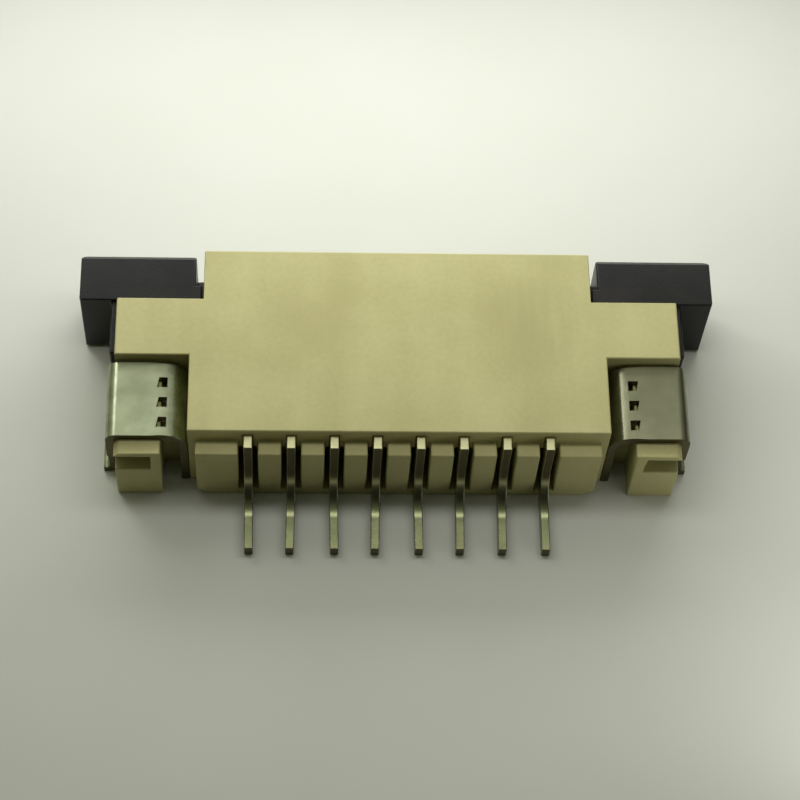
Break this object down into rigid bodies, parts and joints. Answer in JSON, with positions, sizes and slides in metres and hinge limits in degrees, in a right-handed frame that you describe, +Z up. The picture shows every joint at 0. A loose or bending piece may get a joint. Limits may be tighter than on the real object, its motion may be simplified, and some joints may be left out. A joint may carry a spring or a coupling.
{
  "type": "fpc connector",
  "caption": "Right-angle surface-mount connector for a flat flexible cable, with a pull-out slide lock, fork contacts and solder tabs at its ends.",
  "frame": {"origin": "on the board plane, at the centre of the closed connector's footprint, tails included", "axes": "+Z up from the board, +Y out of the cable's mouth (the solder tails leave towards -Y), +X along the row of contacts"},
  "size_m": [0.015, 0.0068, 0.0025],
  "materials": {
    "housing_plastic": "moulded, matte, ivory-beige",
    "slider_plastic": "moulded, black, a little sheen",
    "contact_metal": "stamped strip, tin plated",
    "tab_metal": "folded sheet, tin plated"
  },
  "bodies": {
    "connector": {"housing": "housing_plastic", "contact_1": "contact_metal", "contact_2": "contact_metal", "contact_3": "contact_metal", "contact_4": "contact_metal", "contact_5": "contact_metal", "contact_6": "contact_metal", "contact_7": "contact_metal", "contact_8": "contact_metal", "solder_tab_left": "tab_metal", "solder_tab_right": "tab_metal"},
    "lock": {"slider": "slider_plastic"}
  },
  "joints": [
    {"name": "slider_pull", "type": "slide", "parent": "connector", "child": "lock", "axis": [0, 1, 0], "range_m": [0, 0.001]}
  ]
}
